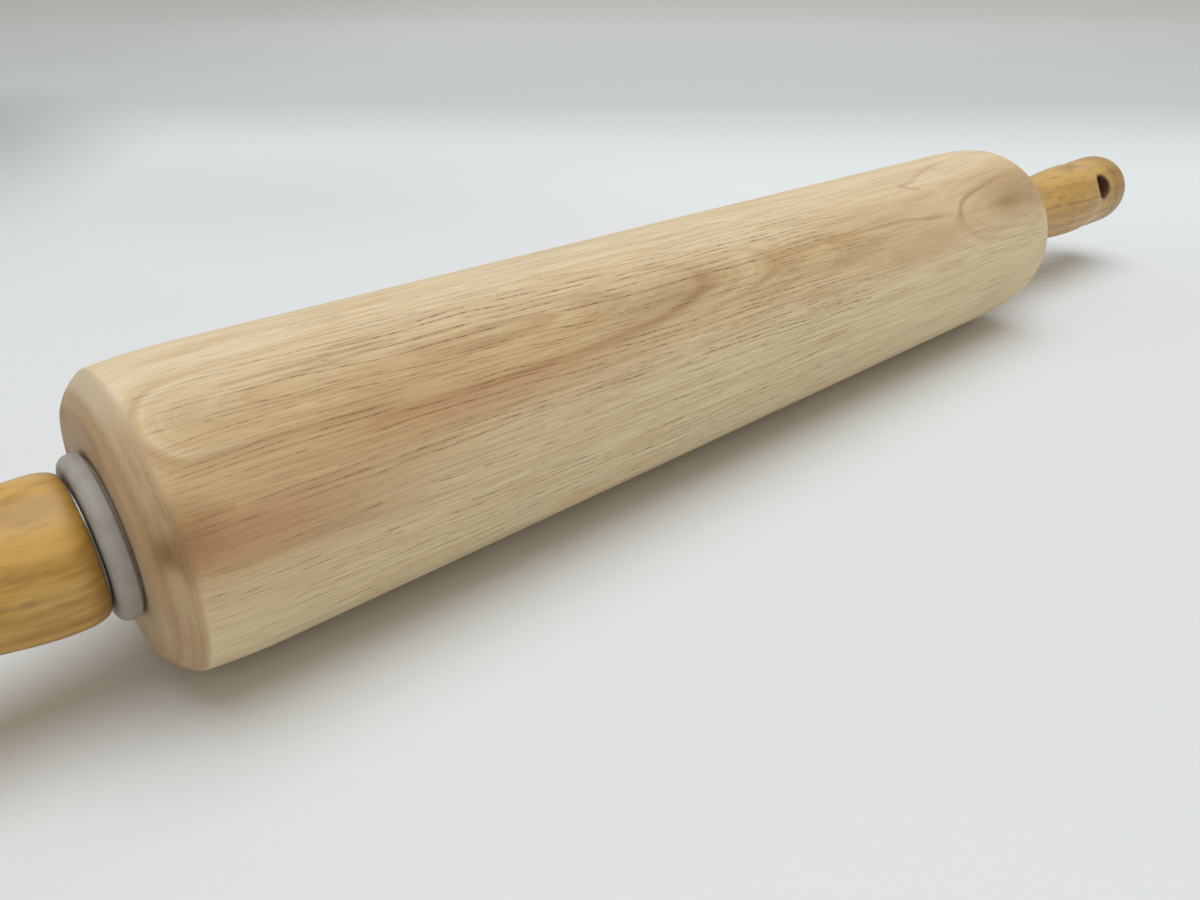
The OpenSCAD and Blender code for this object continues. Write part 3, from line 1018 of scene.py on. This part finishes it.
def between(start, end, along, up):
    """The point that lies the given shares of the way from start to end."""
    return (start[0] + (end[0] - start[0]) * along, start[1] + (end[1] - start[1]) * up)


def round_over(start, end, steps):
    """A quarter of an ellipse that leaves start across the axis and arrives at end level."""
    angles = [math.pi / 2 * i / steps for i in range(steps + 1)]
    return [between(start, end, 1 - math.cos(a), math.sin(a)) for a in angles]


def ease_line(start, end, steps):
    """An S curve that starts and ends level."""
    shares = [i / steps for i in range(steps + 1)]
    return [between(start, end, t, (1 - math.cos(math.pi * t)) / 2) for t in shares]


def hollow(start, end, depth, steps):
    """A hollow of the given depth between two arrises on the belly's radius."""
    middle, half = (start + end) / 2, (end - start) / 2
    places = [2 * i / steps - 1 for i in range(steps + 1)]
    return [(middle + t * half, HANDLE_R - depth * (1 - t * t)) for t in places]


def dome(start, steps):
    """Half an ellipse, from the side of the handle to its tip."""
    angles = [math.pi / 2 * i / steps for i in range(steps)]
    side = [(start + DOME_L * math.sin(a), HANDLE_R * math.cos(a)) for a in angles]
    return side + [(start + DOME_L, 0.0)]


handle_line = [(GRIP_DRILL_L, 0), (GRIP_BORE_L, GRIP_BORE_R), (0, GRIP_BORE_R)]
handle_line += round_over((0, LIP_R - LIP_DROP), (LIP_ROUND, LIP_R), 14)
handle_line += ease_line((LIP_AT, LIP_R), (WAIST_AT, WAIST_R), 24)
handle_line += ease_line((WAIST_AT, WAIST_R), (COVE_AT, HANDLE_R), 40)[1:]
handle_line += hollow(COVE_AT, ARRIS_AT, COVE_DEPTH, 14)[1:]
handle_line += hollow(ARRIS_AT, RING_AT, RING_DEPTH, 8)[1:]
handle_line += dome(HANDLE_L - DOME_L, 28)
handle_line = eased(handle_line, 0.2)
print("handle outline of", len(handle_line), "points")

# %% [markdown]
# ## The hang hole
#
# One handle hangs on a hook, through a hole that crosses it at a slant. A Boolean would cut it, but
# it leaves a ragged ring of faces just where the eye looks. Here a window of faces is taken out on
# both sides, and rings of faces on the cove's own curve run from its border to the hole.

# %% The hole's rings of points
HOLE_EASE = 0.9
HANDLE_STEPS = 128
WINDOW_ALONG = 6.0
WINDOW_TURN = math.radians(28.2)
PATCH_RINGS = 4
EDGE_STEPS = 6
WALL_ROWS = 8

drilled, bench, shader = new_material("drilled_wood_and_painted_shade")
fibres = bench.stretched(millimetres(bench)[0], (0.8, 3.0, 3.0), 4.0, 0.65)
# The hole's wall is dark brown: partly its own drilled end grain, partly painted shade inside the
# hole.
colour = bench.mix(fibres, linear(112, 76, 36), linear(66, 40, 16))
dress(bench, shader, colour, 0.75, fibres, 0.4, 0.0003, {})


def skin_point(along, across):
    """A point on the cove's surface, over the hole."""
    middle = HANDLE_AT + (COVE_AT + ARRIS_AT) / 2
    t = (HOLE_X + along - middle) / ((ARRIS_AT - COVE_AT) / 2)
    radius = HANDLE_R - COVE_DEPTH * (1 - t * t)
    return Vector((along, across, math.sqrt(radius**2 - across**2)))


def hole_rings(border):
    """Rings of points from a window's border to the hole's wall."""
    spokes = [Vector(spot) for spot in border]
    rims = [s.normalized() * (HOLE_R + HOLE_EASE) for s in spokes]
    rings = []
    for i in range(1, PATCH_RINGS + 1):
        ring = [s.lerp(r, i / PATCH_RINGS) for s, r in zip(spokes, rims)]
        rings.append([skin_point(*p) for p in ring])
    for i in range(1, EDGE_STEPS + 1):
        t = i / EDGE_STEPS
        ring = []
        for spoke, rim in zip(spokes, rims):
            start = skin_point(*rim)
            corner = skin_point(*(spoke.normalized() * HOLE_R))
            end = corner - Vector((0, 0, HOLE_EASE))
            ring.append(bend(start, corner, end, t))
        rings.append(ring)
    return rings


print("drilled wood ready")

# %% [markdown]
# `drill` works in the hole's own directions: u along the handle, v across the hole and w through
# it. Faces inside the window go out, both borders are sorted by angle so that their points pair
# up, and the rings of one side, the wall and the rings of the other side form one chain.

# %% Handles
def drill(obj):
    work = bmesh.new()
    work.from_mesh(obj.data)

    def about_hole(co):
        return (co.x / MM - HOLE_X, co.dot(ACROSS) / MM, co.dot(THROUGH) / MM)

    def corner(side, u, v, w):
        place = Vector((HOLE_X + u, 0, 0)) + ACROSS * v + THROUGH * side * w
        return work.verts.new(place * MM)

    window = []
    for face in work.faces:
        u, v, w = about_hole(face.calc_center_median())
        turned = math.atan2(abs(v), abs(w))
        if abs(u) < WINDOW_ALONG and turned < WINDOW_TURN and math.hypot(v, w) > 2 * HOLE_R:
            window.append(face)
    bmesh.ops.delete(work, geom=window, context="FACES")
    borders = {1: [], -1: []}
    for vert in work.verts:
        if any(edge.is_boundary for edge in vert.link_edges):
            u, v, w = about_hole(vert.co)
            borders[1 if w > 0 else -1].append((math.atan2(v, u), u, v, vert))
    sides = {}
    for side, border in borders.items():
        border.sort(key=lambda item: item[0])
        made = [[item[3] for item in border]]
        for ring in hole_rings([(u, v) for _, u, v, _ in border]):
            made.append([corner(side, *p) for p in ring])
        sides[side] = made
    wall = []
    for i in range(1, WALL_ROWS):
        pairs = zip(sides[1][-1], sides[-1][-1])
        wall.append([work.verts.new(a.co.lerp(b.co, i / WALL_ROWS)) for a, b in pairs])
    chain = sides[1] + wall + sides[-1][::-1]
    wall_from = PATCH_RINGS + 2
    wall_to = 2 * (PATCH_RINGS + EDGE_STEPS) + WALL_ROWS - wall_from
    for k, (first, second) in enumerate(zip(chain, chain[1:])):
        for i in range(len(first)):
            j = (i + 1) % len(first)
            face = work.faces.new((first[i], first[j], second[j], second[i]))
            face.smooth = True
            face.material_index = 1 if wall_from <= k < wall_to else 0
    bmesh.ops.recalc_face_normals(work, faces=work.faces)
    open_edges = sum(edge.is_boundary for edge in work.edges)
    work.to_mesh(obj.data)
    work.free()
    obj.data.materials.append(drilled)
    print("hole drilled,", len(window), "faces out,", open_edges, "open edges")


handles = {}
start = math.atan2(THROUGH.y, THROUGH.z)
for side, name in SIDES:
    line = [(side * (HANDLE_AT + s), r) for s, r in handle_line]
    handles[name] = turn(name + "_handle_turned", line, lacquered, HANDLE_STEPS, start)
drill(handles["right"])

# %% [markdown]
# ## Tying the pieces to the frame
#
# Each dressed piece stands for one solid of the frame and moves with its body: the barrel and its
# bushes spin, and the rod, the washers and the handles stay in the baker's hands.

# %% Ride and replace
PIECES = (
    (roller, "roller", "barrel", "roller_wood"),
    (bushes["left"], "left_bushing", "barrel", "bushing_nylon"),
    (bushes["right"], "right_bushing", "barrel", "bushing_nylon"),
    (rod, "axle_rod", "handle_set", "rod_steel"),
    (washers["left"], "left_thrust_washer", "handle_set", "washer_steel"),
    (washers["right"], "right_thrust_washer", "handle_set", "washer_steel"),
    (handles["left"], "left_handle", "handle_set", "handle_wood"),
    (handles["right"], "right_handle", "handle_set", "handle_wood"),
)
for piece, node, body_name, slot in PIECES:
    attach(piece, body_name)
    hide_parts(node)
    low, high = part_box(node)
    spans = [[round(v, 5) for v in span] for span in (high - low, piece.dimensions)]
    print(node, "solid and piece span", *spans)
